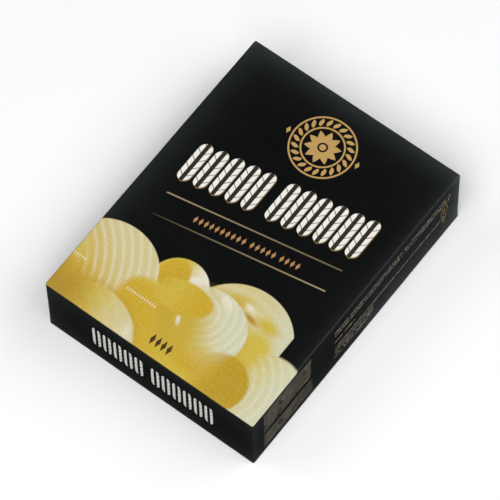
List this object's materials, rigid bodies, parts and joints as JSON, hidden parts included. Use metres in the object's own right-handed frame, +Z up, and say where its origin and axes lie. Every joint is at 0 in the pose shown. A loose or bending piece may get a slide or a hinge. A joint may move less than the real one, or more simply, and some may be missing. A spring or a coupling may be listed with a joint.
{
  "type": "wrapped butter block",
  "caption": "Flat brick of butter shut in a drawn black foil wrapper with gold and cream print and flaps folded flat underneath.",
  "frame": {"origin": "centre of the block's footprint, at the level of the end flaps that it lies on", "axes": "+X across the block, +Y along it from the picture end to the emblem end, +Z up through the printed top"},
  "size_m": [0.075, 0.1, 0.0264],
  "materials": {
    "printed_wrapper": "black satin foil-backed paper, with gold, white and butter-yellow print on the top"
  },
  "bodies": {
    "root": {"wrapped_block": "printed_wrapper"}
  },
  "joints": []
}
